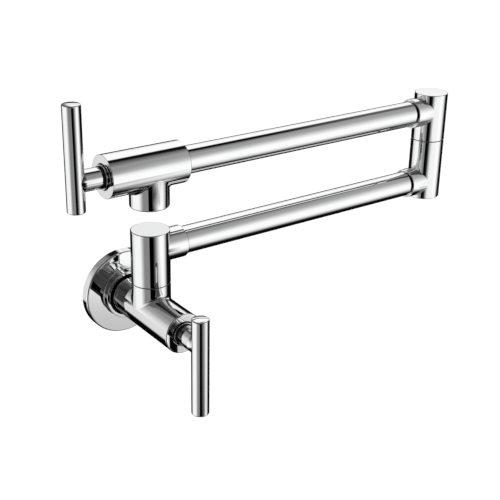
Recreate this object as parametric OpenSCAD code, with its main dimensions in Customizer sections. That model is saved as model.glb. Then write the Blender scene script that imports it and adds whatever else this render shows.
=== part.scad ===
// Wall mounted pot filler: a wall valve, two folding arms on upright swivels, and a spout valve.
// The wall is the plane y = 0, the wall valve's axis runs along -Y through the origin, and +Z is up.

/* [Arms] */
// Distance from the riser's axis to the elbow's axis
lower_reach = 267; // [230:1:320]
// Distance from the elbow's axis to the outlet's axis
upper_reach = 267; // [230:1:320]
// Outer diameter of both arm tubes
tube_d = 20; // [17:0.5:21]
// Wall thickness of the arm tubes
tube_wall = 1.2; // [0.8:0.1:2]
// How deep the upper tube's end sits in the spout's body
tube_seat = 8.5; // [5:0.5:10]

/* [Wall valve] */
// Distance of the riser's axis from the wall
riser_out = 44.3; // [40:0.1:60]
// Distance from the riser's axis to the wall valve's front face
valve_front = 43.2; // [40:0.2:48]
// Diameter of the wall valve's body
valve_d = 29.6; // [29:0.2:34]
// Radius of the threaded inlet in the back of the wall valve
inlet_r = 9.15; // [8:0.05:10]
// Depth of the inlet's thread
inlet_depth = 14; // [10:0.5:18]
// Chamfer on the ends of the valves' bodies
valve_chamfer = 0.8; // [0.3:0.1:1.5]

/* [Wall flange] */
// Diameter of the wall flange
flange_d = 64.8; // [60:0.2:80]
// Thickness of the flange at its rim
flange_t = 7; // [5:0.2:9]
// Rounding of the flange's front edge
flange_round = 1.2; // [0.5:0.1:2]
// Thickness of the flange's sheet
flange_wall = 1.8; // [1.2:0.1:2.5]
// Height of the flange's collar
collar_h = 5.6; // [4:0.2:10]
// Wall thickness of the collar
collar_wall = 2.3; // [1:0.1:2.5]
// Gap between the collar and the wall valve's body
collar_gap = 1.6; // [1:0.1:2]
// Width of the foam gasket behind the flange
gasket_w = 6; // [4:0.5:8]

/* [Riser] */
// Diameter of the riser
riser_d = 28; // [27.5:0.1:28.8]
// Height of the fixed post above the top of the wall valve
post_rise = 8.5; // [8:0.1:14]
// Height of the turning riser above its seam
riser_h = 39.9; // [38:0.1:50]
// Drop from the riser's top to the lower arm's axis
lower_arm_drop = 14.4; // [14:0.1:16]
// Distance from the riser's axis to the mouth of its arm socket
riser_socket_x = 25.3; // [22:0.1:32]
// Wall of the riser's arm socket around the tube
riser_socket_wall = 1.6; // [1:0.1:2]
// Chamfer on the mouth of the riser's arm socket
riser_socket_chamfer = 0.8; // [0.3:0.1:0.9]

/* [Elbow] */
// Diameter of the elbow's posts
elbow_d = 26.8; // [25.6:0.2:28.4]
// Distance from the lower arm's axis down to the elbow's foot
elbow_foot = 13.7; // [13:0.1:16]
// Height of the elbow's seam above the lower arm's axis
elbow_seam_rise = 35.8; // [33:0.1:44]
// Height of the upper arm's axis above the elbow's seam
upper_arm_rise = 23.8; // [23:0.1:30]
// Distance from the upper arm's axis up to the elbow's top
elbow_head = 15; // [14:0.1:18]
// Distance from the elbow's axis to the mouths of its arm sockets
elbow_socket_x = 22.7; // [20:0.1:28]
// Wall of the elbow's arm sockets around the tube
elbow_socket_wall = 1.8; // [1.5:0.1:2.4]
// Width of the open groove between a tube and the lip of its elbow socket
lip_gap = 1; // [0.5:0.1:1.1]
// Depth of that groove
lip_depth = 2; // [1:0.1:4]
// Chamfer on the outer edges of the riser's and the elbow's ends
cap_chamfer = 0.6; // [0.3:0.05:0.9]

/* [Swivels] */
// Wall thickness of the hollow posts
post_wall = 2; // [1.6:0.1:2.2]
// Width of the ledge that holds a turning post down
ledge_w = 1.9; // [1.5:0.1:2.4]
// Height of that ledge's top above the seam
ledge_rise = 10; // [9:0.1:12]
// Radius of the waterway through a pivot
pivot_bore_r = 5.6; // [4.5:0.1:6]
// Length of a pivot's threaded foot
pivot_foot = 9; // [6:0.5:9]
// Height of the nut on a pivot
nut_h = 3.5; // [2.5:0.1:4]
// Gap of the open seam at a swivel
seam_gap = 0.5; // [0.3:0.05:0.8]
// Thickness of the cord that the seals are made of
seal_d = 1.6; // [1.2:0.1:1.8]

/* [Spout] */
// Diameter of the spout's body
spout_d = 30.2; // [29:0.2:34]
// Distance from the outlet's axis to the spout valve's face
spout_nose = 35.4; // [34:0.2:40]
// Length of the spout's body
spout_len = 60.7; // [58:0.1:66]
// Diameter of the outlet
outlet_d = 28.1; // [26:0.1:28.7]
// Distance from the upper arm's axis down to the outlet's mouth
outlet_drop = 27.5; // [26:0.1:36]
// Rounding of the outlet's lower edge
outlet_round = 1.2; // [0.5:0.1:2]
// Diameter of the aerator
aerator_d = 22.4; // [20:0.2:22.6]
// Height of the aerator
aerator_h = 7; // [5:0.1:8]
// Diameter of the holes in the aerator's screen
screen_hole_d = 1.5; // [1:0.1:1.8]

/* [Cartridges] */
// Radius of the chamber that holds a cartridge
chamber_r = 9.4; // [9.2:0.1:10]
// Depth of a cartridge's head below the valve's face
head_depth = 4.2; // [3.6:0.1:5]
// Length of a cartridge's threaded head
head_len = 8; // [6:0.5:9]
// Radius of a cartridge's sleeve
sleeve_r = 8.2; // [7.9:0.1:8.6]
// Wall of the sleeve around the ceramic discs
sleeve_wall = 1.4; // [1:0.1:1.6]
// Thickness of each ceramic disc
disc_t = 2.5; // [2:0.1:3]
// Thickness of the rubber seat under a cartridge
seat_t = 2; // [1.5:0.1:2.5]
// Radius of a valve's spindle
spindle_r = 4; // [3.6:0.1:4.4]
// Radius of the waterway into a cartridge
port_r = 5; // [4:0.1:5.4]

/* [Handles] */
// Diameter of a handle's hub
hub_d = 14.9; // [13.8:0.1:16]
// Gap from a valve's face to the hub
hub_gap = 3; // [2:0.1:4]
// Distance from a valve's face to the bar's axis
handle_reach = 20.2; // [19.4:0.1:26]
// Diameter of a handle's bar
bar_d = 12.6; // [11:0.1:13.4]
// Length of a handle's bar
bar_len = 74.2; // [66:0.2:100]
// Chamfer on the ends of a bar
bar_chamfer = 0.6; // [0.3:0.1:1.5]
// How far the wall handle's bar rises above its hub's axis
wall_bar_up = 20.5; // [15:0.1:30]
// How far the spout handle's bar hangs below its hub's axis
spout_bar_down = 21.2; // [15:0.1:30]
// Radius of the bonnet ring round a spindle
bonnet_r = 8.6; // [7.9:0.1:8.8]
// How far the bonnet ring stands out of the valve's face
bonnet_rise = 0.9; // [0.5:0.1:1.4]
// Radius of the grub screws
grub_r = 2; // [1.5:0.1:2.4]

/* [Hidden] */
$fn = 96;

// Clearances
overrun = 1;          // how far a cut runs past the solid it cuts
seat_clear = 0.03;    // between pieces of one body that fit into each other
run_clear = 0.05;     // radial, between a turning shaft and its bore
face_clear = 0.06;    // between faces that turn on each other
free_gap = 0.3;       // between moving pieces that only pass each other

// Colours
chrome = [0.82, 0.83, 0.85];
brass = [0.80, 0.66, 0.35];
steel = [0.60, 0.61, 0.63];
rubber = [0.10, 0.10, 0.10];
foam = [0.22, 0.22, 0.23];
ceramic = [0.93, 0.92, 0.88];
nylon = [0.14, 0.14, 0.15];

// Wall valve and riser, upwards from the wall valve's axis
valve_r = valve_d / 2;
valve_len = riser_out + valve_front;
riser_r = riser_d / 2;
riser_seam_z = valve_r + post_rise;
riser_top_z = riser_seam_z + riser_h;
lower_arm_z = riser_top_z - lower_arm_drop;
waterway_floor = 3;   // metal between the crossing waterways of the wall valve
valve_back_chamfer = 0.4;

// Elbow and spout
elbow_r = elbow_d / 2;
elbow_x = lower_reach;
elbow_foot_z = lower_arm_z - elbow_foot;
elbow_seam_z = lower_arm_z + elbow_seam_rise;
upper_arm_z = elbow_seam_z + upper_arm_rise;
elbow_top_z = upper_arm_z + elbow_head;
spout_r = spout_d / 2;
outlet_r = outlet_d / 2;
outlet_x = elbow_x - upper_reach;
spout_face_x = outlet_x - spout_nose;
spout_tail_x = spout_face_x + spout_len;
outlet_z = upper_arm_z - outlet_drop;
spout_face_chamfer = 0.3;

// Arm tubes and their sockets
tube_r = tube_d / 2;
tube_bore_r = tube_r + seat_clear;
riser_socket_r = tube_r + riser_socket_wall;
elbow_socket_r = tube_r + elbow_socket_wall;
lip_chamfer = 0.3;
tube_end_gap = 0.5;   // from a tube's end to the hollow of its post

// Swivels, upwards from the seam
hollow_r = min(riser_r, elbow_r) - post_wall;
run_r = hollow_r - ledge_w;
nut_r = hollow_r - free_gap;
seam_chamfer = 0.2;
seam_inset = 0.8;     // how far the slip washer stays inside the posts' surface
slip_washer_t = seam_gap - face_clear;
seal_shares = [0.34, 0.72];
seal_side = 0.2;      // room beside a seal in its groove
groove_r = run_r - seal_d;
pivot_thread_wall = 2.4;
pivot_thread_r = pivot_bore_r + pivot_thread_wall;
nut_washer_t = 1;
nut_washer_z = ledge_rise + face_clear;
nut_z = nut_washer_z + nut_washer_t + seat_clear;
thread_spare = 0.4;   // thread that shows above a nut
pivot_top_z = nut_z + nut_h + thread_spare;

// Caps that close the hollow posts
cap_t = 1.2;
cap_skirt = 2;
cap_skirt_wall = 1.2;

// Wall flange and what lies behind it
flange_r = flange_d / 2;
collar_bore_r = valve_r + collar_gap;
collar_r = collar_bore_r + collar_wall;
collar_chamfer = 0.3;
collar_fillet = 0.6;
flange_seal_h = 3;

// Cartridges: heights are measured outwards from the valve's face, so what is inside is negative
head_top = -head_depth;
head_base = head_top - head_len;
plate_t = 1.5;
column_h = 4;
column_share = 0.85;
column_r = spindle_r * column_share;
plate_top = head_base - face_clear;
plate_base = plate_top - plate_t;
turning_top = plate_base - column_h;
turning_base = turning_top - disc_t;
fixed_top = turning_base - face_clear;
fixed_base = fixed_top - disc_t;
seat_base = fixed_base - seat_clear - seat_t;
chamber_base = seat_base - seat_clear;
sleeve_bore_r = sleeve_r - sleeve_wall;
drive_w = 3;          // bar on the spindle's foot that turns the disc
drive_h = 1;
drive_inset = 0.5;
ear_w = 3;            // ears that keep the fixed disc from turning
ear_inset = 0.3;
disc_hub_r = 1.4;
disc_web = 0.8;
window_w = 7;         // windows in the sleeve, above the discs
window_edge = 0.4;
passage_r = 2.5;      // drillings from a chamber to the riser or the outlet
passage_x = 3.6;
passage_wall = 0.6;
passage_y = chamber_r + passage_wall;
seal_room = seal_d + seal_side;
nose_wall = 2;
nose_r = spindle_r + nose_wall;
nose_h = 2.4;

// Spindle, its seal and its clip
spindle_seal_d = 1;
spindle_seal_share = 0.5;
spindle_groove_r = spindle_r - spindle_seal_d + seat_clear;
spindle_seal_z = head_top - head_len * spindle_seal_share;
clip_t = 0.8;
clip_seat = 0.7;
clip_w = 2.1;
clip_mouth = 2.4;
clip_z = head_top + nose_h + face_clear;
clip_groove_r = spindle_r - clip_seat;
bonnet_cavity_r = nose_r + seat_clear;
bonnet_bore_r = spindle_r + free_gap;
bonnet_chamfer = 0.3;

// Handles, outwards from the valve's face
hub_r = hub_d / 2;
bar_r = bar_d / 2;
hub_chamfer = 0.3;
hub_cone = 2.5;
hub_nose_inset = 0.2;
hub_nose_r = bar_r - hub_nose_inset;
hub_nose_z = handle_reach - sqrt(bar_r * bar_r - hub_nose_r * hub_nose_r);
hub_floor = 1.6;      // metal between the spindle's end and the bar
spindle_seat = handle_reach - bar_r - hub_gap - hub_floor;
spindle_chamfer = 0.4;
neck_inset = 0.85;
neck_r = hub_r - neck_inset;
neck_top = hub_gap - free_gap;
spigot_r = 3;         // spigot of the hub inside the bar
spigot_short = 0.8;
grub_recess = 0.4;
grub_socket_share = 0.5;
grub_socket_depth = 1.4;

// Aerator, upwards from the outlet's mouth
aerator_r = aerator_d / 2;
aerator_inset = 0.4;
aerator_wall = 1.6;
aerator_lip = 1;
aerator_lip_t = 1.2;
aerator_chamfer = 0.4;
aerator_washer_t = 1.5;
outlet_way_r = 8;
screen_t = 0.8;
screen_rings = 3;
screen_pitch_share = 1.55;
aerator_top = aerator_inset + aerator_h;
recess_top = aerator_top + aerator_washer_t + 2 * seat_clear;

// Bore along +Z from z0 to z1, run past whichever ends are open
module bore(r, z0, z1, past0 = overrun, past1 = overrun) {
    translate([0, 0, z0 - past0])
        cylinder(r = r, h = z1 - z0 + past0 + past1);
}

// Plain round solid along +Z from z0 to z1
module disc(r, z0, z1) {
    translate([0, 0, z0])
        cylinder(r = r, h = z1 - z0);
}

// Round solid along +Z from z0 to z1 with a chamfer at both ends
module rod(r, z0, z1, chamfer0, chamfer1) {
    rotate_extrude()
        polygon([[0, z0], [r - chamfer0, z0], [r, z0 + chamfer0],
            [r, z1 - chamfer1], [r - chamfer1, z1], [0, z1]]);
}

// Ring along +Z from z0 to z1
module ring(outer_r, inner_r, z0, z1) {
    rotate_extrude()
        translate([inner_r, z0])
            square([outer_r - inner_r, z1 - z0]);
}

// Seal of round cord, squeezed by nothing, between an inner and an outer wall
module cord_ring(inner_r, outer_r, z) {
    rotate_extrude()
        translate([(inner_r + outer_r) / 2, z])
            circle(r = (outer_r - inner_r) / 2 - seat_clear, $fn = 32);
}

// Frames of the pieces
module from_wall() {
    rotate([90, 0, 0])
        children();
}

module at_wall_valve() {
    translate([0, -valve_len, 0])
        rotate([90, 0, 0])
            children();
}

module at_spout_valve() {
    translate([spout_face_x, -riser_out, upper_arm_z])
        rotate([90, 0, -90])
            children();
}

module at_riser() {
    translate([0, -riser_out, riser_seam_z])
        children();
}

module at_elbow() {
    translate([elbow_x, -riser_out, elbow_seam_z])
        children();
}

module at_outlet() {
    translate([outlet_x, -riser_out, outlet_z])
        children();
}

// Frame along an arm's axis: +Z points to +X, and z is the distance from the riser's axis
module along_arm(z) {
    translate([0, -riser_out, z])
        rotate([0, 90, 0])
            children();
}

// Chamber of a cartridge, with the two drillings that lead its water to side (1 up, -1 down)
module valve_chamber(side, drill_from) {
    bore(chamber_r, chamber_base, 0, 0);
    for (x = [-passage_x, passage_x])
        translate([x, side * passage_y, 0])
            bore(passage_r, -drill_from, plate_base, 0, 0);
}

// Two opposite quarter openings through a ceramic disc
module disc_ports(z0, z1) {
    translate([0, 0, z0 - overrun])
        linear_extrude(z1 - z0 + 2 * overrun)
            for (turn = [0, 180])
                rotate(turn)
                    intersection() {
                        difference() {
                            circle(r = port_r);
                            circle(r = disc_hub_r);
                        }
                        translate([disc_web, disc_web])
                            square(port_r);
                    }
}

module fixed_disc() {
    color(ceramic)
        difference() {
            union() {
                disc(sleeve_bore_r - seat_clear, fixed_base, fixed_top);
                translate([-(sleeve_r - ear_inset), -ear_w / 2, fixed_base])
                    cube([2 * (sleeve_r - ear_inset), ear_w, disc_t]);
            }
            disc_ports(fixed_base, fixed_top);
        }
}

module turning_disc() {
    color(ceramic)
        difference() {
            disc(sleeve_bore_r - run_clear, turning_base, turning_top);
            rotate(90)
                disc_ports(turning_base, turning_top);
            translate([-sleeve_r, -drive_w / 2 - seat_clear, turning_top - drive_h])
                cube([2 * sleeve_r, drive_w + 2 * seat_clear, drive_h + overrun]);
        }
}

module seat_washer() {
    color(rubber)
        ring(sleeve_r, port_r, seat_base, seat_base + seat_t);
}

// Sleeve, threaded head and nose of a cartridge in one piece
module cartridge_sleeve() {
    color(steel)
        difference() {
            union() {
                disc(sleeve_r, fixed_base, head_base);
                disc(chamber_r - seat_clear, head_base, head_top);
                disc(nose_r, head_top, head_top + nose_h);
            }
            bore(spindle_r + run_clear, head_base, head_top + nose_h);
            bore(sleeve_bore_r, fixed_base, head_base, overrun, 0);
            ring(chamber_r, chamber_r - seal_d, head_base - seal_room, head_base);
            translate([-window_w / 2, -sleeve_r - overrun, turning_top + window_edge])
                cube([window_w, 2 * (sleeve_r + overrun), column_h - 2 * window_edge]);
            translate([-sleeve_r - overrun, -ear_w / 2 - seat_clear, fixed_base - overrun])
                cube([2 * (sleeve_r + overrun), ear_w + 2 * seat_clear, disc_t + seat_clear + overrun]);
        }
}

module cartridge_seal() {
    color(rubber)
        cord_ring(chamber_r - seal_d, chamber_r, head_base - seal_room / 2);
}

// Spindle: drive bar, column, plate, and the stem that ends inside the hub
module spindle() {
    plate_r = sleeve_bore_r - run_clear;
    stem_top = hub_gap + spindle_seat;
    seal_half = spindle_seal_d / 2 + seal_side / 2;
    color(brass) {
        rotate_extrude()
            polygon([[0, turning_top], [column_r, turning_top], [column_r, plate_base],
                [plate_r, plate_base], [plate_r, plate_top], [spindle_r, plate_top],
                [spindle_r, spindle_seal_z - seal_half], [spindle_groove_r, spindle_seal_z - seal_half],
                [spindle_groove_r, spindle_seal_z + seal_half], [spindle_r, spindle_seal_z + seal_half],
                [spindle_r, clip_z - seat_clear], [clip_groove_r, clip_z - seat_clear],
                [clip_groove_r, clip_z + clip_t + seat_clear], [spindle_r, clip_z + clip_t + seat_clear],
                [spindle_r, stem_top - spindle_chamfer], [spindle_r - spindle_chamfer, stem_top],
                [0, stem_top]]);
        translate([-(sleeve_bore_r - drive_inset), -drive_w / 2, turning_top - drive_h + seat_clear])
            cube([2 * (sleeve_bore_r - drive_inset), drive_w, 2 * drive_h]);
    }
}

module spindle_seal() {
    color(rubber)
        cord_ring(spindle_groove_r, spindle_r + run_clear, spindle_seal_z);
}

// Open clip that keeps a spindle in its cartridge
module spindle_clip() {
    inner_r = clip_groove_r + seat_clear;
    color(steel)
        difference() {
            ring(inner_r + clip_w, inner_r, clip_z, clip_z + clip_t);
            translate([0, -clip_mouth / 2, clip_z - overrun])
                cube([inner_r + clip_w + overrun, clip_mouth, clip_t + 2 * overrun]);
        }
}

// Ring that screws on the cartridge's nose and dresses the valve's face
module bonnet_ring() {
    ring_base = head_top + seat_clear;
    room_top = clip_z + clip_t + free_gap;
    color(chrome)
        rotate_extrude()
            polygon([[bonnet_cavity_r, ring_base], [bonnet_r, ring_base],
                [bonnet_r, bonnet_rise - bonnet_chamfer], [bonnet_r - bonnet_chamfer, bonnet_rise],
                [neck_r, bonnet_rise], [neck_r, neck_top], [bonnet_bore_r, neck_top],
                [bonnet_bore_r, room_top], [bonnet_cavity_r, room_top]]);
}

// Hub of a handle: a turned body coped round the bar, with a spigot that the bar is screwed on
module handle_hub() {
    stem_end = hub_gap + spindle_seat + seat_clear;
    color(chrome)
        difference() {
            union() {
                difference() {
                    rotate_extrude()
                        polygon([[0, hub_gap], [hub_r - hub_chamfer, hub_gap],
                            [hub_r, hub_gap + hub_chamfer], [hub_r, hub_nose_z - hub_cone],
                            [hub_nose_r, hub_nose_z], [hub_nose_r, handle_reach], [0, handle_reach]]);
                    translate([0, -hub_d, handle_reach])
                        rotate([-90, 0, 0])
                            cylinder(r = bar_r + seat_clear, h = 2 * hub_d);
                }
                disc(spigot_r, stem_end + hub_floor / 2, handle_reach - spigot_short);
            }
            bore(spindle_r + seat_clear, hub_gap, stem_end, overrun, 0);
            translate([0, 0, hub_gap + spindle_seat / 2])
                rotate([90, 0, 0])
                    bore(grub_r + seat_clear, 0, hub_r, 0);
        }
}

// Bar of a handle: down is how far it reaches below the hub's axis
module handle_bar(down) {
    color(chrome)
        difference() {
            translate([0, -down, handle_reach])
                rotate([-90, 0, 0])
                    rod(bar_r, 0, bar_len, bar_chamfer, bar_chamfer);
            bore(spigot_r + seat_clear, handle_reach - bar_r, handle_reach - spigot_short + seat_clear,
                overrun, 0);
        }
}

module handle_grub() {
    grub_end = hub_r - grub_recess;
    color(steel)
        translate([0, 0, hub_gap + spindle_seat / 2])
            rotate([90, 0, 0])
                difference() {
                    disc(grub_r, spindle_r + seat_clear, grub_end);
                    translate([0, 0, grub_end - grub_socket_depth])
                        cylinder(r = grub_r * grub_socket_share, h = grub_socket_depth + overrun, $fn = 6);
                }
}

// Hollow pivot screwed into a fixed post, grooved for its seals and threaded for its nut
module swivel_pivot() {
    seal_z = [for (share = seal_shares) ledge_rise * share];
    half = seal_d / 2 + seal_side;
    color(brass)
        rotate_extrude()
            polygon([[pivot_bore_r, -pivot_foot], [run_r, -pivot_foot],
                for (z = seal_z) each [[run_r, z - half], [groove_r, z - half],
                    [groove_r, z + half], [run_r, z + half]],
                [run_r, nut_washer_z], [pivot_thread_r, nut_washer_z],
                [pivot_thread_r, pivot_top_z], [pivot_bore_r, pivot_top_z]]);
}

module pivot_seals() {
    color(rubber)
        for (share = seal_shares)
            cord_ring(groove_r, run_r + run_clear, ledge_rise * share);
}

module slip_washer(post_r) {
    color(nylon)
        ring(post_r - seam_inset, run_r + seat_clear, 0, slip_washer_t);
}

module nut_washer() {
    color(nylon)
        ring(nut_r, pivot_thread_r + seat_clear, nut_washer_z, nut_washer_z + nut_washer_t);
}

module pivot_nut() {
    color(brass)
        difference() {
            translate([0, 0, nut_z])
                cylinder(r = nut_r, h = nut_h, $fn = 6);
            bore(pivot_thread_r + seat_clear, nut_z, nut_z + nut_h);
        }
}

// Cap seated flush in a post's end at z = 0, its skirt reaching down into the hollow
module post_cap(post_r) {
    plate_r = post_r - cap_chamfer - seat_clear;
    skirt_r = post_r - post_wall - seat_clear;
    color(chrome)
        difference() {
            union() {
                disc(plate_r, -cap_t, 0);
                disc(skirt_r, -cap_t - cap_skirt, -cap_t);
            }
            bore(skirt_r - cap_skirt_wall, -cap_t - cap_skirt, -cap_t, overrun, 0);
        }
}

// Seat that a post's end holds for its cap, with the end at z = 0
module cap_seat(post_r) {
    bore(post_r - cap_chamfer, -cap_t - seat_clear, 0, 0);
}

// Bores of a turning post: the running bore, the ledge and the hollow above it
module turning_post_bores(post_r, top) {
    bore(run_r + run_clear, seam_gap, ledge_rise);
    bore(post_r - post_wall, ledge_rise, top, 0);
    translate([0, 0, top])
        cap_seat(post_r);
}

module wall_flange() {
    sheet_z = flange_t - flange_wall;
    color(chrome)
        from_wall()
            rotate_extrude()
                difference() {
                    union() {
                        square([flange_r - flange_round, flange_t]);
                        square([flange_r, flange_t - flange_round]);
                        translate([flange_r - flange_round, flange_t - flange_round])
                            circle(r = flange_round, $fn = 48);
                        polygon([[0, 0], [collar_r + collar_fillet, flange_t],
                            [collar_r, flange_t + collar_fillet],
                            [collar_r, flange_t + collar_h - collar_chamfer],
                            [collar_r - collar_chamfer, flange_t + collar_h], [0, flange_t + collar_h]]);
                    }
                    square([collar_bore_r, flange_t + collar_h + overrun]);
                    translate([0, -overrun])
                        square([flange_r - flange_wall, sheet_z + overrun]);
                }
}

module wall_gasket() {
    outer_r = flange_r - flange_wall - seat_clear;
    color(foam)
        from_wall()
            ring(outer_r, outer_r - gasket_w, 0, flange_t - flange_wall - seat_clear);
}

module flange_seal() {
    color(rubber)
        from_wall()
            ring(collar_bore_r - seat_clear, valve_r + seat_clear,
                flange_t - flange_wall, flange_t - flange_wall + flange_seal_h);
}

// Body of the wall valve with its fixed post
module valve_body() {
    color(chrome)
        difference() {
            union() {
                at_wall_valve()
                    rod(valve_r, -valve_len, 0, valve_back_chamfer, valve_chamfer);
                translate([0, -riser_out, 0])
                    rod(riser_r, 0, riser_seam_z, seam_chamfer, seam_chamfer);
            }
            from_wall()
                bore(inlet_r, 0, inlet_depth, overrun, 0);
            from_wall()
                bore(port_r, inlet_depth, valve_len + chamber_base);
            at_wall_valve()
                valve_chamber(1, valve_front);
            translate([0, -riser_out, 0])
                bore(pivot_bore_r, port_r + waterway_floor, riser_seam_z, 0);
            at_riser()
                bore(run_r + seat_clear, -pivot_foot, 0, 0);
        }
}

// Turning riser with the socket of the lower arm
module riser_sleeve() {
    color(chrome)
        difference() {
            union() {
                at_riser()
                    rod(riser_r, seam_gap, riser_h, seam_chamfer, cap_chamfer);
                along_arm(lower_arm_z)
                    rod(riser_socket_r, 0, riser_socket_x, riser_socket_chamfer, riser_socket_chamfer);
            }
            along_arm(lower_arm_z)
                bore(tube_bore_r, 0, riser_socket_x, 0);
            at_riser()
                turning_post_bores(riser_r, riser_h);
        }
}

module lower_arm_tube() {
    color(chrome)
        along_arm(lower_arm_z)
            ring(tube_r, tube_r - tube_wall, riser_r - post_wall + tube_end_gap,
                elbow_x - elbow_r + post_wall - tube_end_gap);
}

module upper_arm_tube() {
    color(chrome)
        along_arm(upper_arm_z)
            ring(tube_r, tube_r - tube_wall, spout_tail_x - tube_seat,
                elbow_x - elbow_r + post_wall - tube_end_gap);
}

// Outside of an elbow socket, from the elbow's axis to its mouth
module elbow_socket(z) {
    along_arm(z)
        rod(elbow_socket_r, elbow_x - elbow_socket_x, elbow_x, lip_chamfer, lip_chamfer);
}

// Bore of an elbow socket, with the open groove inside its lip
module elbow_socket_bores(z) {
    mouth = elbow_x - elbow_socket_x;
    along_arm(z) {
        bore(tube_bore_r, mouth, elbow_x, overrun, 0);
        bore(tube_r + lip_gap, mouth, mouth + lip_depth, overrun, 0);
    }
}

// Lower half of the elbow: it holds the lower arm and the pivot
module elbow_lower_post() {
    foot = elbow_foot_z - elbow_seam_z;
    color(chrome)
        difference() {
            union() {
                at_elbow()
                    rod(elbow_r, foot, 0, cap_chamfer, seam_chamfer);
                elbow_socket(lower_arm_z);
            }
            elbow_socket_bores(lower_arm_z);
            at_elbow() {
                bore(run_r + seat_clear, -pivot_foot, 0);
                bore(elbow_r - post_wall, foot, -pivot_foot, overrun, 0);
                translate([0, 0, foot])
                    mirror([0, 0, 1])
                        cap_seat(elbow_r);
            }
        }
}

// Upper half of the elbow: it turns on the pivot and holds the upper arm
module elbow_upper_post() {
    color(chrome)
        difference() {
            union() {
                at_elbow()
                    rod(elbow_r, seam_gap, elbow_top_z - elbow_seam_z, seam_chamfer, cap_chamfer);
                elbow_socket(upper_arm_z);
            }
            elbow_socket_bores(upper_arm_z);
            at_elbow()
                turning_post_bores(elbow_r, elbow_top_z - elbow_seam_z);
        }
}

module riser_cap() {
    translate([0, -riser_out, riser_top_z])
        post_cap(riser_r);
}

module elbow_top_cap() {
    translate([elbow_x, -riser_out, elbow_top_z])
        post_cap(elbow_r);
}

module elbow_bottom_cap() {
    translate([elbow_x, -riser_out, elbow_foot_z])
        mirror([0, 0, 1])
            post_cap(elbow_r);
}

// Spout: its body lies along the upper arm, and the outlet hangs from it
module spout_body() {
    color(chrome)
        difference() {
            union() {
                at_spout_valve()
                    rod(spout_r, -spout_len, 0, valve_chamfer, spout_face_chamfer);
                at_outlet()
                    rotate_extrude() {
                        translate([0, outlet_round])
                            square([outlet_r, outlet_drop - outlet_round]);
                        square([outlet_r - outlet_round, outlet_drop]);
                        translate([outlet_r - outlet_round, outlet_round])
                            circle(r = outlet_round, $fn = 48);
                    }
            }
            at_spout_valve() {
                bore(tube_bore_r, -spout_len, -spout_len + tube_seat + seat_clear, overrun, 0);
                bore(port_r, -spout_len + tube_seat, chamber_base);
                valve_chamber(-1, spout_nose);
            }
            at_outlet() {
                bore(aerator_r + seat_clear, 0, recess_top, overrun, 0);
                bore(outlet_way_r, recess_top, outlet_drop - passage_y + passage_r, overrun, 0);
            }
        }
}

module aerator_housing() {
    color(steel)
        at_outlet()
            difference() {
                rod(aerator_r, aerator_inset, aerator_top, aerator_chamfer, aerator_chamfer);
                bore(aerator_r - aerator_wall - aerator_lip, aerator_inset, aerator_top);
                bore(aerator_r - aerator_wall, aerator_inset + aerator_lip_t, aerator_top, 0);
            }
}

// Screen with rings of small holes
module aerator_screen() {
    pitch = screen_hole_d * screen_pitch_share;
    base = aerator_inset + aerator_lip_t + seat_clear;
    color(steel)
        at_outlet()
            difference() {
                disc(aerator_r - aerator_wall - seat_clear, base, base + screen_t);
                bore(screen_hole_d / 2, base, base + screen_t);
                for (i = [1 : screen_rings])
                    for (j = [0 : 6 * i - 1])
                        rotate(j * 60 / i)
                            translate([i * pitch, 0, 0])
                                bore(screen_hole_d / 2, base, base + screen_t);
            }
}

module aerator_washer() {
    color(rubber)
        at_outlet()
            ring(aerator_r, outlet_way_r, aerator_top + seat_clear, recess_top - seat_clear);
}

wall_flange();
wall_gasket();
flange_seal();
valve_body();
at_wall_valve() seat_washer();  // wall_seat_washer
at_wall_valve() fixed_disc();  // wall_fixed_disc
at_wall_valve() cartridge_sleeve();  // wall_cartridge_sleeve
at_wall_valve() cartridge_seal();  // wall_cartridge_seal
at_wall_valve() bonnet_ring();  // wall_bonnet_ring
at_wall_valve() turning_disc();  // wall_turning_disc
at_wall_valve() spindle();  // wall_spindle
at_wall_valve() spindle_seal();  // wall_spindle_seal
at_wall_valve() spindle_clip();  // wall_spindle_clip
at_wall_valve() handle_hub();  // wall_handle_hub
at_wall_valve() handle_bar(bar_len - wall_bar_up);  // wall_handle_bar
at_wall_valve() handle_grub();  // wall_handle_grub
at_riser() swivel_pivot();  // riser_pivot
at_riser() pivot_seals();  // riser_pivot_seals
at_riser() slip_washer(riser_r);  // riser_slip_washer
at_riser() nut_washer();  // riser_nut_washer
at_riser() pivot_nut();  // riser_pivot_nut
riser_sleeve();
riser_cap();
lower_arm_tube();
elbow_lower_post();
elbow_bottom_cap();
at_elbow() swivel_pivot();  // elbow_pivot
at_elbow() pivot_seals();  // elbow_pivot_seals
at_elbow() slip_washer(elbow_r);  // elbow_slip_washer
at_elbow() nut_washer();  // elbow_nut_washer
at_elbow() pivot_nut();  // elbow_pivot_nut
elbow_upper_post();
elbow_top_cap();
upper_arm_tube();
spout_body();
at_spout_valve() seat_washer();  // spout_seat_washer
at_spout_valve() fixed_disc();  // spout_fixed_disc
at_spout_valve() cartridge_sleeve();  // spout_cartridge_sleeve
at_spout_valve() cartridge_seal();  // spout_cartridge_seal
at_spout_valve() bonnet_ring();  // spout_bonnet_ring
at_spout_valve() turning_disc();  // spout_turning_disc
at_spout_valve() spindle();  // spout_spindle
at_spout_valve() spindle_seal();  // spout_spindle_seal
at_spout_valve() spindle_clip();  // spout_spindle_clip
at_spout_valve() handle_hub();  // spout_handle_hub
at_spout_valve() handle_bar(spout_bar_down);  // spout_handle_bar
at_spout_valve() handle_grub();  // spout_handle_grub
aerator_housing();
aerator_screen();
aerator_washer();
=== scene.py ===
from math import atan2, cos, hypot, pi, radians, sin, sqrt

import bmesh
import bpy
from mathutils import Matrix, Vector


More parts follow.
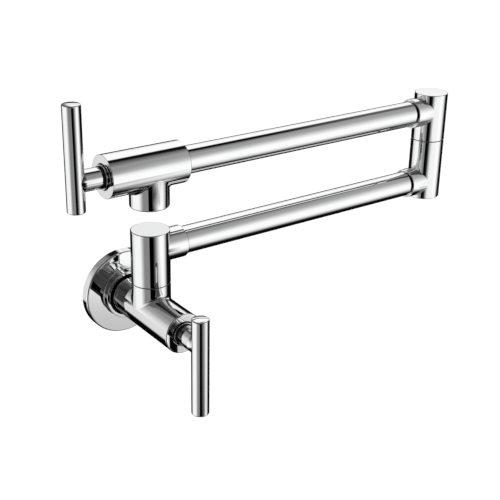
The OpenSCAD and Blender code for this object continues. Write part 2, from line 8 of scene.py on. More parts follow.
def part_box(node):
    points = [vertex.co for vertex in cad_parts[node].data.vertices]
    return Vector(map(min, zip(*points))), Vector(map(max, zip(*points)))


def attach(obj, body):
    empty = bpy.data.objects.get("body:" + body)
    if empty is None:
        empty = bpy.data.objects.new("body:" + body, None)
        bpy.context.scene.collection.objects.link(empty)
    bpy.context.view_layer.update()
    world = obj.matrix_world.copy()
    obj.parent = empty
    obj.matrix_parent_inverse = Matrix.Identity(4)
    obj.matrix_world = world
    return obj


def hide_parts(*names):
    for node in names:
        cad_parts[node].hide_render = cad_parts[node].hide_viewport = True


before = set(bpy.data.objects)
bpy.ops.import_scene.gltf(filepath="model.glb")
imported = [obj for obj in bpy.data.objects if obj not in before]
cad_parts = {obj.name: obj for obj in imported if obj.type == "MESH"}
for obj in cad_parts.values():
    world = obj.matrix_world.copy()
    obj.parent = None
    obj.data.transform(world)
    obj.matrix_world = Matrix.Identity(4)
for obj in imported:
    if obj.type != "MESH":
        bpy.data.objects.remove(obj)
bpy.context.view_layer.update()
mm = 0.001  # the dictionaries give millimetres, Blender gets metres

# The camera stands at the photograph's viewing angle
view = {
    "azimuth": -36.445,
    "elevation": 23.556,
    "roll": 1.185,
    "place": (-0.33923, -0.62128, 0.33909),
    "lens": 74.51,
    "sensor": 36,
    "near": 0.01,
    "far": 50,
}


def addCamera():
    data = bpy.data.cameras.new("photoCamera")
    data.sensor_width = view["sensor"]
    data.lens = view["lens"]
    data.clip_start = view["near"]
    data.clip_end = view["far"]
    camera = bpy.data.objects.new("photoCamera", data)
    camera.matrix_world = (
        Matrix.Translation(view["place"])
        @ Matrix.Rotation(radians(view["azimuth"]), 4, "Z")
        @ Matrix.Rotation(radians(90 - view["elevation"]), 4, "X")
        @ Matrix.Rotation(radians(view["roll"]), 4, "Z")
    )
    bpy.context.scene.collection.objects.link(camera)
    bpy.context.scene.camera = camera


addCamera()
bpy.context.scene.view_settings.view_transform = "Standard"
print("camera placed")


def newNode(tree, kind, inputs=None, **settings):
    node = tree.nodes.new(kind)
    for name, value in settings.items():
        setattr(node, name, value)
    for name, value in (inputs or {}).items():
        if hasattr(value, "is_output"):
            tree.links.new(value, node.inputs[name])
        elif value is not None:
            node.inputs[name].default_value = value
    return node


def startMaterial(name):
    material = bpy.data.materials.new(name)
    material.use_nodes = True
    tree = material.node_tree
    shader = tree.nodes["Principled BSDF"]
    place = newNode(tree, "ShaderNodeTexCoord").outputs["Object"]
    return material, tree, shader, place


def mixOf(tree, factor, low, high):
    low, high = [value if hasattr(value, "is_output") else (*value, 1) for value in (low, high)]
    node = newNode(tree, "ShaderNodeMix", {"Factor": factor, "A": low, "B": high}, data_type="RGBA")
    return node.outputs["Result"]


def rangeOf(tree, value, low, high, fromLow=0.0, fromHigh=1.0, kind="LINEAR"):
    inputs = {"Value": value, "From Min": fromLow, "From Max": fromHigh, "To Min": low, "To Max": high}
    return newNode(tree, "ShaderNodeMapRange", inputs, interpolation_type=kind).outputs["Result"]


def mathOf(tree, operation, first, second=None):
    return newNode(tree, "ShaderNodeMath", {0: first, 1: second}, operation=operation).outputs[0]


def dotOf(tree, ray, vector):
    node = newNode(tree, "ShaderNodeVectorMath", {0: ray, 1: vector}, operation="DOT_PRODUCT")
    return node.outputs["Value"]


cloud = {"detail": 3.0, "low": 0.3, "high": 0.7}  # the faint clouds in every finish
# Each finish: two close colours, how fine its clouds are, how rough and how metallic it is.
# The chrome's edge says how far a face has turned away where its painted dark outline starts and is full,
# and rim is the colour of that painted shade
finishes = {
    "chrome": {"low": (0.90, 0.905, 0.91), "high": (0.95, 0.95, 0.95), "scale": 40,
               "rough": (0.012, 0.03), "metallic": 1.0, "edge": (0.74, 0.88), "rim": (0.01, 0.01, 0.01)},
    "brass": {"low": (0.62, 0.45, 0.17), "high": (0.78, 0.60, 0.28), "scale": 220,
              "rough": (0.22, 0.38), "metallic": 1.0},
    "steel": {"low": (0.50, 0.50, 0.51), "high": (0.62, 0.62, 0.63), "scale": 260,
              "rough": (0.20, 0.34), "metallic": 1.0},
    "rubber": {"low": (0.003, 0.003, 0.003), "high": (0.008, 0.008, 0.008), "scale": 500,
               "rough": (0.35, 0.5), "metallic": 0.0, "shine": 0.05},
    "foam": {"low": (0.03, 0.03, 0.032), "high": (0.08, 0.08, 0.085), "scale": 900,
             "rough": (0.85, 0.97), "metallic": 0.0},
    "ceramic": {"low": (0.80, 0.79, 0.75), "high": (0.87, 0.86, 0.83), "scale": 150,
                "rough": (0.10, 0.20), "metallic": 0.0},
    "nylon": {"low": (0.016, 0.016, 0.018), "high": (0.03, 0.03, 0.032), "scale": 300,
              "rough": (0.40, 0.55), "metallic": 0.0},
}


def makeFinish(name):
    finish = finishes[name]
    material, tree, shader, place = startMaterial(name + "Finish")
    noise = newNode(tree, "ShaderNodeTexNoise",
                    {"Vector": place, "Scale": finish["scale"], "Detail": cloud["detail"]}).outputs["Fac"]
    colour = mixOf(tree, noise, finish["low"], finish["high"])
    if "edge" in finish:
        # Painted shade: the colour and specular tint go dark where a face turns away from the view, which
        # draws a thin dark outline
        facing = newNode(tree, "ShaderNodeLayerWeight", {"Blend": 0.5}).outputs["Facing"]
        away = rangeOf(tree, facing, 0, 1, *finish["edge"], kind="SMOOTHSTEP")
        colour = mixOf(tree, away, colour, finish["rim"])
        paintedShadeTint = mixOf(tree, away, (1, 1, 1), finish["rim"])
        tree.links.new(paintedShadeTint, shader.inputs["Specular Tint"])
    tree.links.new(colour, shader.inputs["Base Color"])
    rough = rangeOf(tree, noise, *finish["rough"], fromLow=cloud["low"], fromHigh=cloud["high"])
    tree.links.new(rough, shader.inputs["Roughness"])
    shader.inputs["Metallic"].default_value = finish["metallic"]
    shader.inputs["Specular IOR Level"].default_value = finish.get("shine", 0.5)
    return material


materials = {name: makeFinish(name) for name in finishes}
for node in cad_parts.values():
    for slot in node.material_slots:
        slot.material = materials[slot.material.name.split(".")[0]]
print("finishes made")


# Places from the frame, in millimetres
def lowOf(node):
    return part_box(node)[0] / mm


def highOf(node):
    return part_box(node)[1] / mm


def middleOf(node):
    return (lowOf(node) + highOf(node)) / 2


armY = middleOf("riser_cap").y
elbowX = middleOf("elbow_top_cap").x
lowerZ = middleOf("lower_arm_tube").z
upperZ = middleOf("upper_arm_tube").z

# The frames that the turned pieces stand in, each with its own axis as Z
wallAxis = Matrix.Rotation(radians(90), 4, "X")
riserAxis = Matrix.Translation((0, armY, 0))
elbowAxis = Matrix.Translation((elbowX, armY, 0))
lowerAxis = Matrix.Translation((0, armY, lowerZ)) @ Matrix.Rotation(radians(90), 4, "Y")
upperAxis = Matrix.Translation((0, armY, upperZ)) @ Matrix.Rotation(radians(90), 4, "Y")
wallNose = Matrix.Translation((0, lowOf("valve_body").y, 0)) @ wallAxis
spoutNose = (Matrix.Translation((lowOf("spout_body").x, armY, upperZ))
             @ Matrix.Rotation(radians(-90), 4, "Z") @ Matrix.Rotation(radians(90), 4, "X"))
outletAxis = Matrix.Translation((0, armY, lowOf("spout_body").z))


making = {
    "steps": 180, "cutterSteps": 96, "holeSteps": 48, "drillingSteps": 32,  # round the axis
    "roundSteps": 5,  # across a rounding
    "join": 0.0005,  # closer points are merged
    "over": 1, "overlap": 0.1,  # how far a cutter runs past a face, or into the next one
    "crease": 35,  # degrees, a sharper corner stays sharp
    "lean": 5,  # how much a face's tilt counts against an axis that it doesn't turn round
    "onAxis": 1e-4,
}
over, overlap = making["over"], making["overlap"]


def turned(corners, axis, closed=False, steps=making["steps"]):
    # Spins an outline of (radius, along, rounding) corners round the axis
    bm = bmesh.new()
    verts = [bm.verts.new((radius, 0, along)) for radius, along, ease in corners]
    for pair in zip(verts, verts[1:]):
        bm.edges.new(pair)
    if closed:
        bm.edges.new((verts[-1], verts[0]))
    for vert, corner in zip(verts, corners):
        if corner[2]:
            bmesh.ops.bevel(bm, geom=[vert], offset=corner[2], offset_type="OFFSET",
                            segments=making["roundSteps"], profile=0.5, affect="VERTICES", material=-1)
    bmesh.ops.spin(bm, geom=bm.verts[:] + bm.edges[:], cent=(0, 0, 0), axis=(0, 0, 1), angle=2 * pi,
                   steps=steps, use_merge=True, use_duplicate=False)
    bmesh.ops.remove_doubles(bm, verts=bm.verts[:], dist=making["join"])
    bmesh.ops.recalc_face_normals(bm, faces=bm.faces[:])
    bmesh.ops.transform(bm, matrix=axis, verts=bm.verts[:])
    return bm


def drilled(radius, start, end, axis, steps=making["cutterSteps"]):
    # A plain round cutter
    return turned([(0, start, 0), (radius, start, 0), (radius, end, 0), (0, end, 0)], axis, steps=steps)


def shaped(first, steps):
    # Adds the other solids or takes them away, one after the other
    spare = []
    for bm in [first] + [bm for operation, bm in steps]:
        mesh = bpy.data.meshes.new("spare")
        bm.to_mesh(mesh)
        bm.free()
        spare.append(bpy.data.objects.new("spare", mesh))
        bpy.context.scene.collection.objects.link(spare[-1])
    for (operation, bm), tool in zip(steps, spare[1:]):
        modifier = spare[0].modifiers.new("shape", "BOOLEAN")
        modifier.operation = operation
        modifier.solver = "EXACT"
        modifier.object = tool
    graph = bpy.context.evaluated_depsgraph_get()
    result = bmesh.new()
    result.from_mesh(spare[0].evaluated_get(graph).to_mesh())
    for obj in spare:
        mesh = obj.data
        bpy.data.objects.remove(obj)
        bpy.data.meshes.remove(mesh)
    bmesh.ops.remove_doubles(result, verts=result.verts[:], dist=making["join"])
    return result


def roundNormals(mesh, axes):
    # Every face lies on a surface turned round one of the axes, and gets that surface's true normals
    frames = [(axis.to_3x3(), axis.inverted()) for axis in axes]
    spots = [[inverse @ vert.co for vert in mesh.vertices] for turn, inverse in frames]
    around = [[] for vert in mesh.vertices]
    own = []
    for face in mesh.polygons:
        best = None
        for (turn, inverse), places in zip(frames, spots):
            normal = turn.transposed() @ face.normal
            centre = inverse @ face.center
            reach = max(hypot(centre.x, centre.y), making["onAxis"])
            across = (normal.x * centre.x + normal.y * centre.y) / reach
            corners = [places[i] for i in face.vertices]
            levels = [across * hypot(spot.x, spot.y) + normal.z * spot.z for spot in corners]
            lean = 1 - min(hypot(across, normal.z), 1)
            error = max(levels) - min(levels) + making["lean"] * lean
            if best is None or error < best[0]:
                best = (error, turn, places, across, normal.z)
        error, turn, places, across, rise = best
        normals = []
        for i in face.vertices:
            reach = hypot(places[i].x, places[i].y)
            flat = Vector()
            if reach > making["onAxis"]:
                flat = Vector((places[i].x / reach, places[i].y / reach, 0))
            normal = (turn @ (flat * across + Vector((0, 0, rise)))).normalized()
            normals.append(normal)
            around[i].append((normal, face.area))
        own.append(normals)
    limit = cos(radians(making["crease"]))
    loops = []
    for face, normals in zip(mesh.polygons, own):
        for i, normal in zip(face.vertices, normals):
            total = Vector()
            for other, area in around[i]:
                if normal.dot(other) > limit:
                    total += other * area
            loops.append(total.normalized())
    return loops


def finishPiece(name, bm, axes, body, nodes=(), finish="chrome"):
    # Without axes the piece is shaded by its own faces
    mesh = bpy.data.meshes.new(name)
    bm.to_mesh(mesh)
    bm.free()
    normals = roundNormals(mesh, axes) if axes else None
    mesh.transform(Matrix.Scale(mm, 4))
    mesh.shade_smooth()
    if normals:
        mesh.normals_split_custom_set(normals)
    else:
        mesh.set_sharp_from_angle(angle=radians(making["crease"]))
    mesh.materials.append(materials[finish])
    piece = bpy.data.objects.new(name, mesh)
    bpy.context.scene.collection.objects.link(piece)
    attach(piece, body)
    if nodes:
        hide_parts(*nodes)


flange = {
    "wall": 1.8, "plate": 7, "rounding": 1.2,
    "collar": 18.7, "bore": 16.4, "fillet": 0.6, "rim": 0.35, "edge": 0.1, "steps": 240,
}


def makeFlange():
    outer = highOf("wall_flange").x
    top = -lowOf("wall_flange").y
    under = flange["plate"] - flange["wall"]
    shell = turned([
        (flange["bore"], under, 0), (flange["bore"], top, flange["rim"]),
        (flange["collar"], top, flange["rim"]), (flange["collar"], flange["plate"], flange["fillet"]),
        (outer, flange["plate"], flange["rounding"]), (outer, 0, flange["edge"]),
        (outer - flange["wall"], 0, flange["edge"]), (outer - flange["wall"], under, flange["fillet"]),
    ], wallAxis, closed=True, steps=flange["steps"])
    finishPiece("wallFlange", shell, [wallAxis], "wall_valve", ["wall_flange"])


# What the two valves share, measured back from their faces
chamber = {
    "radius": 9.4, "deep": 24.88, "plate": 13.76, "way": 5,
    "drilling": 2.5, "aside": 3.6, "off": 10,  # the two small ways that leave the disc
}


def chamberCuts(nose, side, start, length):
    cuts = [drilled(chamber["radius"], -chamber["deep"], over, nose),
            drilled(chamber["way"], -length, -chamber["deep"] + overlap, nose)]
    for x in (-chamber["aside"], chamber["aside"]):
        place = nose @ Matrix.Translation((x, side * chamber["off"], 0))
        cuts.append(drilled(chamber["drilling"], -start, -chamber["plate"], place, making["drillingSteps"]))
    return cuts


valve = {
    "barrel": 14.8, "backEase": 0.4, "frontEase": 0.8,
    "post": 14, "seamEase": 0.2,
    "inlet": 9.15, "inletDeep": 14,
    "pivotBore": 5.6, "pivotRun": 9.53, "pivotDeep": 9, "floor": 8,
}


def makeValveBody():
    length = -lowOf("valve_body").y
    seam = highOf("valve_body").z
    barrel = turned([(0, 0, 0), (valve["barrel"], 0, valve["backEase"]),
                     (valve["barrel"], length, valve["frontEase"]), (0, length, 0)], wallAxis)
    post = turned([(0, 0, 0), (valve["post"], 0, 0), (valve["post"], seam, valve["seamEase"]),
                   (0, seam, 0)], riserAxis)
    cuts = [drilled(valve["inlet"], -over, valve["inletDeep"], wallAxis),
            drilled(valve["pivotBore"], valve["floor"], seam + over, riserAxis),
            drilled(valve["pivotRun"], seam - valve["pivotDeep"], seam + over, riserAxis)]
    cuts += chamberCuts(wallNose, 1, length + armY, length - valve["inletDeep"] + overlap)
    body = shaped(barrel, [("UNION", post)] + [("DIFFERENCE", cut) for cut in cuts])
    finishPiece("valveBody", body, [wallAxis, riserAxis], "wall_valve", ["valve_body"])


# The posts that turn on a pivot: the riser, and the two halves of the elbow
post = {
    "capEase": 0.6, "seamEase": 0.2, "hollowWall": 2, "seat": 1.23,
    "hollowEnd": 0.5, "run": 9.55, "ledge": 9.5, "tubeBore": 10.03,
}
riserSocket = {"radius": 11.6, "ease": 0.8}
elbowSocket = {"radius": 11.8, "ease": 0.3, "grooveRadius": 11, "grooveDeep": 2}


def postCuts(radius, seam, end, axis):
    # The running bore, the hollow past its ledge and the seat of the cap, from the seam to the end
    way = 1 if end > seam else -1
    ledge = seam + way * post["ledge"]
    return [drilled(post["run"], seam - way * over, ledge + way * overlap, axis),
            drilled(radius - post["hollowWall"], ledge, end - way * post["hollowEnd"], axis),
            drilled(radius - post["capEase"], end - way * post["seat"], end + way * over, axis)]


def makeRiserSleeve():
    foot, top = lowOf("riser_sleeve").z, highOf("riser_sleeve").z
    radius, mouth = -lowOf("riser_sleeve").x, highOf("riser_sleeve").x
    sleeve = turned([(0, foot, 0), (radius, foot, post["seamEase"]), (radius, top, post["capEase"]),
                     (0, top, 0)], riserAxis)
    socket = turned([(0, 0, 0), (riserSocket["radius"], 0, 0),
                     (riserSocket["radius"], mouth, riserSocket["ease"]), (0, mouth, 0)], lowerAxis)
    cuts = [drilled(post["tubeBore"], 0, mouth + over, lowerAxis)] + postCuts(radius, foot, top, riserAxis)
    body = shaped(sleeve, [("UNION", socket)] + [("DIFFERENCE", cut) for cut in cuts])
    finishPiece("riserSleeve", body, [riserAxis, lowerAxis], "lower_arm", ["riser_sleeve"])


def makeElbowPost(name, node, body, armAxis, upper):
    low, high = lowOf(node), highOf(node)
    seam, end = (low.z, high.z) if upper else (high.z, low.z)
    radius = high.x - elbowX
    sleeve = turned([(0, seam, 0), (radius, seam, post["seamEase"]), (radius, end, post["capEase"]),
                     (0, end, 0)], elbowAxis)
    socket = turned([(0, low.x, 0), (elbowSocket["radius"], low.x, elbowSocket["ease"]),
                     (elbowSocket["radius"], elbowX, 0), (0, elbowX, 0)], armAxis)
    mouth = low.x - over
    cuts = [drilled(post["tubeBore"], mouth, elbowX, armAxis),
            drilled(elbowSocket["grooveRadius"], mouth, low.x + elbowSocket["grooveDeep"], armAxis)]
    cuts += postCuts(radius, seam, end, elbowAxis)
    shape = shaped(sleeve, [("UNION", socket)] + [("DIFFERENCE", cut) for cut in cuts])
    finishPiece(name, shape, [elbowAxis, armAxis], body, [node])


cap = {"plate": 1.2, "skirt": 2, "skirtWall": 1.2, "skirtEase": 0.1, "inset": 1.4, "ease": 0.08}


def makeCap(name, node, body, axis, upward=True):
    low, high = lowOf(node), highOf(node)
    radius = (high.x - low.x) / 2
    face, way = (high.z, -1) if upward else (low.z, 1)
    plate = face + way * cap["plate"]
    rim = plate + way * cap["skirt"]
    skirt = radius - cap["inset"]
    shape = turned([(0, face, 0), (radius, face, cap["ease"]), (radius, plate, 0), (skirt, plate, 0),
                    (skirt, rim, cap["skirtEase"]), (skirt - cap["skirtWall"], rim, cap["skirtEase"]),
                    (skirt - cap["skirtWall"], plate, 0), (0, plate, 0)], axis)
    finishPiece(name, shape, [axis], body, [node])


tube = {"wall": 1.2, "ease": 0.3, "steps": 160}


def makeTube(name, node, body, axis):
    low, high = lowOf(node), highOf(node)
    radius = (high.z - low.z) / 2
    inner = radius - tube["wall"]
    shape = turned([(inner, low.x, 0), (radius, low.x, tube["ease"]), (radius, high.x, tube["ease"]),
                    (inner, high.x, 0)], axis, closed=True, steps=tube["steps"])
    finishPiece(name, shape, [axis], body, [node])


spout = {
    "barrel": 15.1, "faceEase": 0.3, "tailEase": 0.8,
    "outlet": 14.05, "outletRound": 1.2,
    "recess": 11.23, "recessDeep": 8.96, "outletWay": 8, "wayTop": 20, "tubeSeat": 8.5,
}


def makeSpoutBody():
    low, high = lowOf("spout_body"), highOf("spout_body")
    length = high.x - low.x
    barrel = turned([(0, -length, 0), (spout["barrel"], -length, spout["tailEase"]),
                     (spout["barrel"], 0, spout["faceEase"]), (0, 0, 0)], spoutNose)
    outlet = turned([(0, 0, 0), (spout["outlet"], 0, spout["outletRound"]),
                     (spout["outlet"], upperZ - low.z, 0), (0, upperZ - low.z, 0)], outletAxis)
    cuts = [drilled(post["tubeBore"], -length - over, -length + spout["tubeSeat"], spoutNose),
            drilled(spout["recess"], -over, spout["recessDeep"], outletAxis),
            drilled(spout["outletWay"], spout["recessDeep"] - overlap, spout["wayTop"], outletAxis)]
    cuts += chamberCuts(spoutNose, -1, -low.x, length - spout["tubeSeat"] + overlap)
    body = shaped(barrel, [("UNION", outlet)] + [("DIFFERENCE", cut) for cut in cuts])
    finishPiece("spoutBody", body, [spoutNose, outletAxis], "upper_arm", ["spout_body"])


aerator = {"lip": 2.6, "lipThick": 1.2, "wall": 1.6, "ease": 0.3, "lipEase": 0.2, "innerEase": 0.1}


def makeAerator():
    low, high = lowOf("aerator_housing"), highOf("aerator_housing")
    radius = (high.x - low.x) / 2
    axis = Matrix.Translation((0, armY, 0))
    inner = radius - aerator["wall"]
    mouth = radius - aerator["lip"]
    ledge = low.z + aerator["lipThick"]
    shape = turned([(mouth, low.z, aerator["lipEase"]), (radius, low.z, aerator["ease"]),
                    (radius, high.z, aerator["lipEase"]), (inner, high.z, aerator["innerEase"]),
                    (inner, ledge, 0), (mouth, ledge, aerator["lipEase"])], axis, closed=True)
    finishPiece("aeratorHousing", shape, [axis], "upper_arm", ["aerator_housing"], "steel")


# Pieces at a valve's face, measured out from it
bonnet = {
    "radius": 8.6, "rise": 1.3, "ease": 0.25, "neck": 6.6, "neckTop": 2.7, "neckEase": 0.15,
    "stem": 4.3, "stemEase": 0.1, "cavity": 6.03, "base": -4.17, "room": -0.64, "steps": 128,
}


def makeBonnet(name, node, body, nose):
    shape = turned([
        (bonnet["cavity"], bonnet["base"], 0), (bonnet["radius"], bonnet["base"], 0),
        (bonnet["radius"], bonnet["rise"], bonnet["ease"]), (bonnet["neck"], bonnet["rise"], 0),
        (bonnet["neck"], bonnet["neckTop"], bonnet["neckEase"]),
        (bonnet["stem"], bonnet["neckTop"], bonnet["stemEase"]),
        (bonnet["stem"], bonnet["room"], 0), (bonnet["cavity"], bonnet["room"], 0),
    ], nose, closed=True, steps=bonnet["steps"])
    finishPiece(name, shape, [nose], body, [node])


# Painted shade: a black rubber ring that darkens the narrow gap between bonnet and hub
neckSealShade = {"radius": 7.8, "under": 6.7, "start": 1.3, "end": 2.85, "round": 0.3}


def makeNeckSealShade(name, body, nose):
    # The black rubber ring between a bonnet and the hub turning in front of it, which also stands in as
    # painted shade for the dark gap there
    shape = turned([
        (neckSealShade["under"], neckSealShade["start"], 0), (neckSealShade["radius"], neckSealShade["start"], 0),
        (neckSealShade["radius"], neckSealShade["end"], neckSealShade["round"]),
        (neckSealShade["under"], neckSealShade["end"], 0),
    ], nose, closed=True, steps=making["cutterSteps"])
    finishPiece(name, shape, [nose], body, finish="rubber")


hub = {
    "radius": 7.45, "start": 3, "coneStart": 16.13, "coneEnd": 18.63, "nose": 6.1, "reach": 20.2,
    "ease": 0.3, "coneEase": 1.2, "cope": 6.33, "stem": 4.03, "stemEnd": 12.33,
    "spigot": 3, "spigotStart": 13.13, "spigotEnd": 19.4, "grub": 2.03, "grubAt": 7.65,
    "steps": 128, "stemSteps": 64,
}


def makeHub(name, node, body, nose):
    across = nose @ Matrix.Translation((0, 0, hub["reach"])) @ Matrix.Rotation(radians(-90), 4, "X")
    grub = nose @ Matrix.Translation((0, 0, hub["grubAt"])) @ Matrix.Rotation(radians(90), 4, "X")
    blank = turned([(0, hub["start"], 0), (hub["radius"], hub["start"], hub["ease"]),
                    (hub["radius"], hub["coneStart"], hub["coneEase"]),
                    (hub["nose"], hub["coneEnd"], hub["ease"]),
                    (hub["nose"], hub["reach"], 0), (0, hub["reach"], 0)], nose, steps=hub["steps"])
    wide = 2 * hub["radius"]
    shape = shaped(blank, [
        ("DIFFERENCE", drilled(hub["cope"], -wide, wide, across)),
        ("UNION", drilled(hub["spigot"], hub["spigotStart"], hub["spigotEnd"], nose, making["holeSteps"])),
        ("DIFFERENCE", drilled(hub["stem"], hub["start"] - over, hub["stemEnd"], nose, hub["stemSteps"])),
        ("DIFFERENCE", drilled(hub["grub"], 0, wide, grub, making["drillingSteps"])),
    ])
    finishPiece(name, shape, [nose, across, grub], body, [node])


bar = {"radius": 6.3, "dome": 0.55, "round": 0.8, "rings": 6, "hole": 3.03, "holeEnd": 19.43, "steps": 144}


def makeBar(name, node, body, nose):
    low, high = lowOf(node), highOf(node)
    middle = (low + high) / 2
    axis = Matrix.Translation((middle.x, middle.y, low.z))
    length = high.z - low.z
    shares = [i / bar["rings"] for i in range(bar["rings"])]
    dome = [(bar["radius"] * share, bar["dome"] * share ** 2) for share in shares]
    corners = [(radius, along, 0) for radius, along in dome]
    corners += [(bar["radius"], along, bar["round"]) for along in (bar["dome"], length - bar["dome"])]
    corners += [(radius, length - along, 0) for radius, along in reversed(dome)]
    hole = drilled(bar["hole"], hub["reach"] - 2 * bar["radius"], bar["holeEnd"], nose, making["holeSteps"])
    shape = shaped(turned(corners, axis, steps=bar["steps"]), [("DIFFERENCE", hole)])
    finishPiece(name, shape, [axis, nose], body, [node])


weld = {"post": 2.6, "outlet": 2.2, "steps": 192, "arc": 8, "buried": 0.5}


def makeWeld(name, body, wide, narrow, radius, axis):
    # A soft fillet where a narrow round post (along Z) leaves a wide round one (along X):
    # a ball of this radius rolls round the corner, and the strip follows where it touches
    bm = bmesh.new()
    verts = [bm.verts.new((1, 0, i)) for i in range(weld["arc"] + 2)]
    for pair in zip(verts, verts[1:] + verts[:1]):
        bm.edges.new(pair)
    bmesh.ops.spin(bm, geom=bm.verts[:] + bm.edges[:], cent=(0, 0, 0), axis=(0, 0, 1), angle=2 * pi,
                   steps=weld["steps"], use_merge=True, use_duplicate=False)
    for vert in bm.verts:
        turn, i = atan2(vert.co.y, vert.co.x), round(vert.co.z)
        out = Vector((cos(turn), sin(turn), 0))
        ball = out * (narrow + radius)
        ball.z = sqrt((wide + radius) ** 2 - ball.y ** 2)
        toPost = -out
        toBody = -Vector((0, ball.y, ball.z)).normalized()
        if i <= weld["arc"]:
            vert.co = ball + radius * toPost.slerp(toBody, i / weld["arc"])
        else:
            half = toPost.angle(toBody) / 2
            vert.co = ball + (radius / cos(half) + weld["buried"]) * (toPost + toBody).normalized()
    bmesh.ops.recalc_face_normals(bm, faces=bm.faces[:])
    bmesh.ops.transform(bm, matrix=axis, verts=bm.verts[:])
    finishPiece(name, bm, None, body)


makeFlange()
makeValveBody()
makeBonnet("wallBonnetRing", "wall_bonnet_ring", "wall_valve", wallNose)
makeNeckSealShade("wallNeckSealShade", "wall_valve", wallNose)
makeWeld("postFillet", "wall_valve", valve["barrel"], valve["post"], weld["post"],
         riserAxis @ Matrix.Rotation(radians(90), 4, "Z"))
print("wall valve made")

makeRiserSleeve()
makeCap("riserCap", "riser_cap", "lower_arm", riserAxis)
makeTube("lowerArmTube", "lower_arm_tube", "lower_arm", lowerAxis)
makeElbowPost("elbowLowerPost", "elbow_lower_post", "lower_arm", lowerAxis, upper=False)
makeCap("elbowBottomCap", "elbow_bottom_cap", "lower_arm", elbowAxis, upward=False)
print("lower arm made")

makeElbowPost("elbowUpperPost", "elbow_upper_post", "upper_arm", upperAxis, upper=True)
makeCap("elbowTopCap", "elbow_top_cap", "upper_arm", elbowAxis)
makeTube("upperArmTube", "upper_arm_tube", "upper_arm", upperAxis)
makeSpoutBody()
makeBonnet("spoutBonnetRing", "spout_bonnet_ring", "upper_arm", spoutNose)
makeNeckSealShade("spoutNeckSealShade", "upper_arm", spoutNose)
makeAerator()
makeWeld("outletFillet", "upper_arm", spout["barrel"], spout["outlet"], weld["outlet"],
         Matrix.Translation((0, armY, upperZ)) @ Matrix.Rotation(pi, 4, "X"))
print("upper arm made")

for side, nose in (("wall", wallNose), ("spout", spoutNose)):
    makeHub(side + "HandleHub", side + "_handle_hub", side + "_handle", nose)
    makeBar(side + "HandleBar", side + "_handle_bar", side + "_handle", nose)
print("handles made")

# The studio as the metal sees it. A panel's turn (from +Y towards +X) and rise are in degrees:
# outer and inner edge on one side, inner and outer edge on the other, faded in between
studio = {"base": 0.25}
allRound = (-181, -180, 180, 181)
panels = [  # painted in this order, each over the ones before
    {"name": "ceiling", "turn": allRound, "rise": (8, 26, 90, 91), "level": 0.13},
    {"name": "ceilingBack", "turn": (-42, -30, -10, 8), "rise": (22, 28, 50, 60), "level": 0.27},
    {"name": "ceilingFront", "turn": (90, 104, 130, 168), "rise": (6, 18, 44, 62), "level": 0.36},
    {"name": "cameraSide", "turn": (-176, -164, -126, -108), "rise": (-19, -8, 42, 52), "level": 0.01},
    {"name": "cameraGrey", "turn": (-158, -152, -138, -132), "rise": (-16, -6, 16, 26), "level": 0.05},
    {"name": "leftWindow", "turn": (-118, -84, -29, -22), "rise": (-44, -32, -12, 37), "level": 0.99},
    {"name": "windowEdge", "turn": (-50, -38, -29, -22), "rise": (-44, -32, -12, 37), "level": 0.76},
    {"name": "backWall", "turn": (-28, -21, 60, 70), "rise": (-46, -34, 9, 15), "level": 0.006},
    {"name": "backLow", "turn": (-33, -24, 60, 80), "rise": (-60, -50, -29, -25), "level": 0.001},
    {"name": "below", "turn": allRound, "rise": (-91, -90, -54, -38), "level": 0.001},
    {"name": "rightFlag", "turn": (40, 60, 102, 118), "rise": (-70, -60, 30, 46), "level": 0.003},
    {"name": "frontLight", "turn": (103, 137, 170, 216), "rise": (-66, -22, -6, 44), "level": 1.05},
    {"name": "cameraTop", "turn": (142, 166, 196, 206), "rise": (8, 24, 60, 70), "level": 0.06},
    {"name": "frontMiddle", "turn": (150, 160, 206, 213), "rise": (-38, -32, -12, -6), "level": 0.97},
    {"name": "frontLow", "turn": (142, 149, 172, 182), "rise": (-40, -35, -28, -23), "level": 0.6},
    {"name": "frontDark", "turn": (146, 166, 200, 210), "rise": (-64, -54, -36, -26), "level": 0.14},
    {"name": "flagTop", "turn": (60, 74, 94, 116), "rise": (46, 55, 90, 91), "level": 0.003},
    {"name": "topEdge", "turn": (0, 8, 24, 30), "rise": (6, 12, 36, 46), "level": 0.008},
    {"name": "topLight", "turn": (20, 26, 62, 74), "rise": (11, 15, 60, 68), "level": 1.05},
    {"name": "topSoft", "turn": (20, 26, 62, 74), "rise": (11, 15, 23, 31), "level": 0.88},
    {"name": "topCorner", "turn": (40, 46, 62, 74), "rise": (4, 9, 20, 24), "level": 0.98},
]


def panelMask(tree, ray, height, panel):
    turns = [radians(value) for value in panel["turn"]]
    middle = (turns[1] + turns[2]) / 2
    turns = [value - middle for value in turns]
    side = dotOf(tree, ray, (cos(middle), -sin(middle), 0))
    ahead = dotOf(tree, ray, (sin(middle), cos(middle), 0))
    turn = mathOf(tree, "ARCTAN2", side, ahead)
    rises = [radians(value) for value in panel["rise"]]
    mask = None
    for value, edges in ((turn, turns), (height, rises)):
        for low, high, outer, inner in ((0, 1, edges[0], edges[1]), (1, 0, edges[2], edges[3])):
            ramp = rangeOf(tree, value, low, high, outer, inner, "SMOOTHSTEP")
            mask = ramp if mask is None else mathOf(tree, "MULTIPLY", mask, ramp)
    return mask


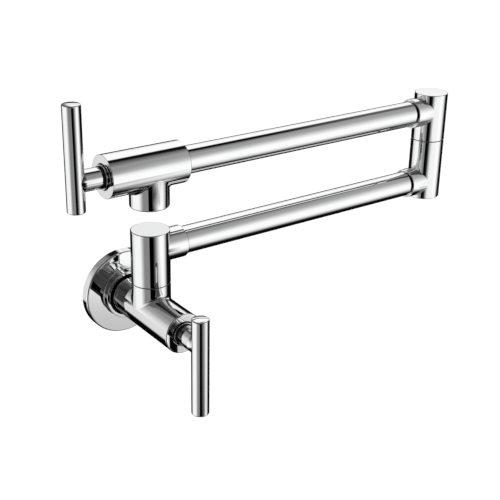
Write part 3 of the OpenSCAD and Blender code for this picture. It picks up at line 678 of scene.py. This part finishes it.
def addWorld():
    world = bpy.data.worlds.new("studioWorld")
    world.use_nodes = True
    bpy.context.scene.world = world
    tree = world.node_tree
    tree.nodes.clear()
    ray = newNode(tree, "ShaderNodeTexCoord").outputs["Generated"]
    height = mathOf(tree, "ARCSINE", dotOf(tree, ray, (0, 0, 1)))
    level = studio["base"]
    for panel in panels:
        inputs = {"Factor": panelMask(tree, ray, height, panel), "A": level, "B": panel["level"]}
        level = newNode(tree, "ShaderNodeMix", inputs, data_type="FLOAT").outputs["Result"]
    path = newNode(tree, "ShaderNodeLightPath")
    mirrored = newNode(tree, "ShaderNodeBackground", {"Strength": level})
    plain = newNode(tree, "ShaderNodeBackground", {"Strength": 1.0})
    mix = newNode(tree, "ShaderNodeMixShader", {0: path.outputs["Is Glossy Ray"]})
    for i, shader in enumerate((plain, mirrored)):
        shader.inputs["Color"].default_value = (1, 1, 1, 1)
        tree.links.new(shader.outputs[0], mix.inputs[i + 1])
    out = newNode(tree, "ShaderNodeOutputWorld")
    tree.links.new(mix.outputs[0], out.inputs["Surface"])


addWorld()

card = {
    "start": (-275, -418), "end": (262, -576), "height": -130, "high": 480,
    "edge": 15, "fade": 150, "soft": 26,
}


def addCard():
    # A black card beside the camera that only the metal sees: it starts sharply and fades out slowly
    start, end = [Vector((*card[name], card["height"])) * mm for name in ("start", "end")]
    side, up = (end - start).normalized(), Vector((0, 0, 1))
    edge, half = card["edge"] * mm, card["high"] / 2
    wide = end - start + side * edge
    high = up * 2 * (half + card["soft"]) * mm
    bm = bmesh.new()
    bmesh.ops.create_grid(bm, x_segments=1, y_segments=1, size=0.5)
    for vert in bm.verts:
        vert.co = end - wide / 2 + wide * vert.co.x + high * vert.co.y
    mesh = bpy.data.meshes.new("studioCard")
    bm.to_mesh(mesh)
    bm.free()
    obj = bpy.data.objects.new("studioCard", mesh)
    bpy.context.scene.collection.objects.link(obj)
    material, tree, shader, place = startMaterial("cardBlack")
    tree.nodes.remove(shader)
    here = newNode(tree, "ShaderNodeVectorMath", {0: place, 1: start}, operation="SUBTRACT").outputs[0]
    along = dotOf(tree, here, side)
    away = mathOf(tree, "ABSOLUTE", dotOf(tree, here, up))
    mask = rangeOf(tree, along, 0, 1, -edge, edge, "SMOOTHSTEP")
    for value, inner, outer in ((along, card["fade"] * mm, (end - start).length),
                                (away, (half - card["soft"]) * mm, (half + card["soft"]) * mm)):
        mask = mathOf(tree, "MULTIPLY", mask, rangeOf(tree, value, 1, 0, inner, outer, "SMOOTHSTEP"))
    clear = newNode(tree, "ShaderNodeBsdfTransparent")
    black = newNode(tree, "ShaderNodeEmission", {"Strength": 0.0})
    mix = newNode(tree, "ShaderNodeMixShader", {0: mask})
    tree.links.new(clear.outputs[0], mix.inputs[1])
    tree.links.new(black.outputs[0], mix.inputs[2])
    tree.links.new(mix.outputs[0], tree.nodes["Material Output"].inputs["Surface"])
    mesh.materials.append(material)
    obj.visible_camera = False
    obj.visible_diffuse = False
    obj.visible_shadow = False


addCard()

floorLook = {
    "height": -1.2,  # metres, far below the wall valve
    "size": 30,
    "grey": 0.8,
    "glow": 0.25,  # lifts the floor to white for the camera alone
}


def addFloor():
    bpy.ops.mesh.primitive_plane_add(size=floorLook["size"], location=(0, 0, floorLook["height"]))
    floor = bpy.context.object
    floor.name = "studioFloor"
    material = bpy.data.materials.new("paleFloor")
    material.use_nodes = True
    tree = material.node_tree
    tree.nodes.clear()
    path = newNode(tree, "ShaderNodeLightPath")
    grey = floorLook["grey"]
    matt = newNode(tree, "ShaderNodeBsdfDiffuse", {"Color": (grey, grey, grey, 1)})
    white = newNode(tree, "ShaderNodeEmission", {"Strength": floorLook["glow"]})
    both = newNode(tree, "ShaderNodeAddShader")
    tree.links.new(matt.outputs[0], both.inputs[0])
    tree.links.new(white.outputs[0], both.inputs[1])
    mix = newNode(tree, "ShaderNodeMixShader", {0: path.outputs["Is Camera Ray"]})
    tree.links.new(matt.outputs[0], mix.inputs[1])
    tree.links.new(both.outputs[0], mix.inputs[2])
    out = newNode(tree, "ShaderNodeOutputMaterial")
    tree.links.new(mix.outputs[0], out.inputs["Surface"])
    floor.data.materials.append(material)
    floor.visible_glossy = False  # the metal sees the studio round it instead


addFloor()
print("studio lit")
